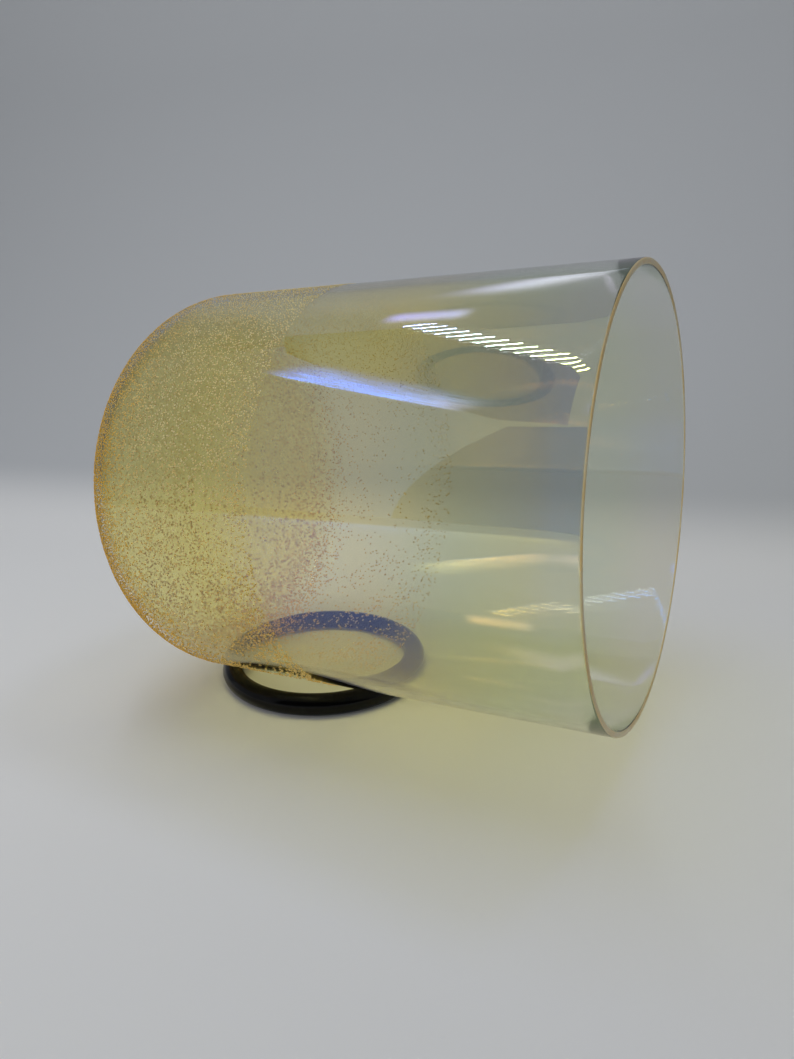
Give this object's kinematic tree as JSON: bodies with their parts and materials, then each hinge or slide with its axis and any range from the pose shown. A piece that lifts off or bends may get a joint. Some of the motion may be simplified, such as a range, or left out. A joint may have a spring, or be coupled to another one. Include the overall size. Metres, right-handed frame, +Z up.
{
  "type": "crystal singing bowl",
  "caption": "Standing bell of clear fused quartz with a sand-grained closed end, lying on its side in a rubber ring cradle with its mouth tipped up.",
  "frame": {"origin": "on the surface it stands on, at the middle of the whole object's plan", "axes": "+X from the closed end to the mouth, +Y to the side, +Z up"},
  "size_m": [0.234, 0.1788, 0.1944],
  "materials": {
    "clear_quartz": "clear fused quartz under a thin iridescent film, with a faint citrine tint",
    "sintered_sand": "golden quartz grains sintered to the outer face",
    "black_rubber": "smooth glossy black"
  },
  "bodies": {
    "ring": {"support_ring": "black_rubber"},
    "bowl": {"quartz_bowl": "clear_quartz", "sand_skin": "sintered_sand"}
  },
  "joints": [
    {"name": "bowl_lift", "type": "slide", "parent": "ring", "child": "bowl", "axis": [0, 0, 1], "range_m": [0, 0.15]}
  ]
}
